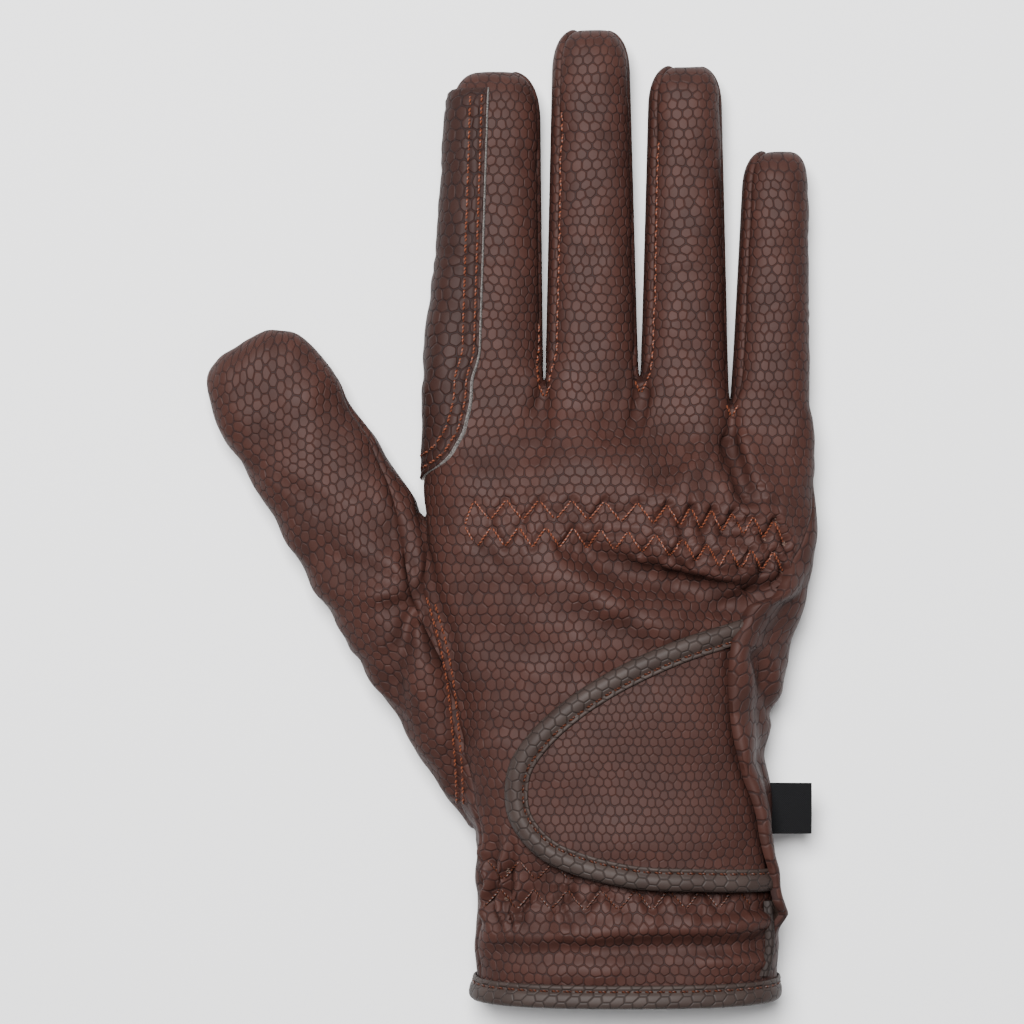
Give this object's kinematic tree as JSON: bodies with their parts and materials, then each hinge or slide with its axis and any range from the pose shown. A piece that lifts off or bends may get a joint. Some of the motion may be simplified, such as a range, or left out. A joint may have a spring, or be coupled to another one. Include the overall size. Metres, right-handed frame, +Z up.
{
  "type": "horse riding glove",
  "caption": "Right-hand horse riding glove of embossed brown leather with a bound wrist tab, shirred back and a reinforced index finger, lying on its palm.",
  "frame": {"origin": "middle of the bottom of the glove's box, on the surface that the glove lies on", "axes": "+Y from the cuff to the fingertips, +X towards the little finger, +Z up through the back of the hand"},
  "size_m": [0.1388, 0.2204, 0.0316],
  "materials": {
    "leather": "satin, embossed with small rounded cells",
    "patch_leather": "satin, embossed with small rounded cells",
    "binding": "satin, embossed with hexagons",
    "hook_pad": "matt",
    "label": "matt, woven"
  },
  "bodies": {
    "root": {"back_panel": "leather", "palm_panel": "leather", "fourchette_index_middle": "leather", "fourchette_middle_ring": "leather", "fourchette_ring_little": "leather", "thumb_outer": "leather", "thumb_gusset": "leather", "closing_tab": "leather", "index_patch": "patch_leather", "tab_binding": "binding", "hem_binding": "binding", "vent_binding": "binding", "tab_fastener": "hook_pad", "side_label": "label"}
  },
  "joints": []
}
